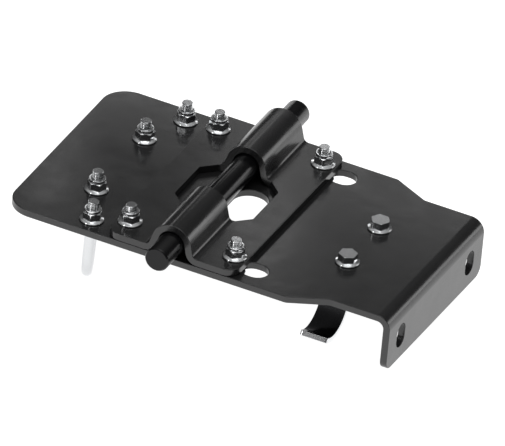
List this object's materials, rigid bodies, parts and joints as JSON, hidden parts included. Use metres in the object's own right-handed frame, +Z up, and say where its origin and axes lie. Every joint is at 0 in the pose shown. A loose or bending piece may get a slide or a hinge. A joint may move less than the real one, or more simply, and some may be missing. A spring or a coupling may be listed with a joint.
{
  "type": "fifth wheel hitch",
  "caption": "Flanged black steel hitch plate with a formed saddle over a cross shaft, lock nuts, U-bolts and hook clamps for round frame tubes.",
  "frame": {"origin": "middle of the footprint's length and width, on the ground under the U-bolts", "axes": "+X to the flanged front, +Y to the left along the cross shaft, +Z up"},
  "size_m": [0.3572, 0.2794, 0.0994],
  "materials": {
    "plate_black": "glossy black powder coat on 6.35 mm steel plate",
    "shaft_black": "semi-gloss black coated steel bar",
    "bright_zinc": "bright zinc plated steel",
    "insert_nylon": "natural nylon locking ring"
  },
  "bodies": {
    "plates": {"base_plate": "plate_black", "saddle_plate": "plate_black", "u_bolt_left": "bright_zinc", "u_bolt_right": "bright_zinc", "u_bolt_nut_left_outer": "bright_zinc", "u_bolt_nut_left_inner": "bright_zinc", "u_bolt_nut_right_outer": "bright_zinc", "u_bolt_nut_right_inner": "bright_zinc", "saddle_bolt_left_front": "bright_zinc", "saddle_bolt_left_rear": "bright_zinc", "saddle_bolt_right_front": "bright_zinc", "saddle_bolt_right_rear": "bright_zinc", "saddle_nut_left_front": "bright_zinc", "saddle_nut_left_rear": "bright_zinc", "saddle_nut_right_front": "bright_zinc", "saddle_nut_right_rear": "bright_zinc", "hook_bolt_left": "bright_zinc", "hook_bolt_right": "bright_zinc", "hook_nut_left": "bright_zinc", "hook_nut_right": "bright_zinc", "u_bolt_insert_left_outer": "insert_nylon", "u_bolt_insert_left_inner": "insert_nylon", "u_bolt_insert_right_outer": "insert_nylon", "u_bolt_insert_right_inner": "insert_nylon", "saddle_insert_left_front": "insert_nylon", "saddle_insert_left_rear": "insert_nylon", "saddle_insert_right_front": "insert_nylon", "saddle_insert_right_rear": "insert_nylon", "hook_insert_left": "insert_nylon", "hook_insert_right": "insert_nylon"},
    "shaft": {"cross_shaft": "shaft_black"},
    "left_hook": {"hook_clamp_left": "bright_zinc"},
    "right_hook": {"hook_clamp_right": "bright_zinc"}
  },
  "joints": [
    {"name": "shaft_turn", "type": "hinge", "parent": "plates", "child": "shaft", "pos_m": [-0.0215, 0, 0.08102], "axis": [0, 1, 0], "continuous": true},
    {"name": "left_hook_swivel", "type": "hinge", "parent": "plates", "child": "left_hook", "pos_m": [0.1081, 0.0317, 0.0606], "axis": [0, 0, 1], "range_deg": [-90, 90]},
    {"name": "right_hook_swivel", "type": "hinge", "parent": "plates", "child": "right_hook", "pos_m": [0.1081, -0.0317, 0.0606], "axis": [0, 0, 1], "range_deg": [-90, 90]}
  ]
}
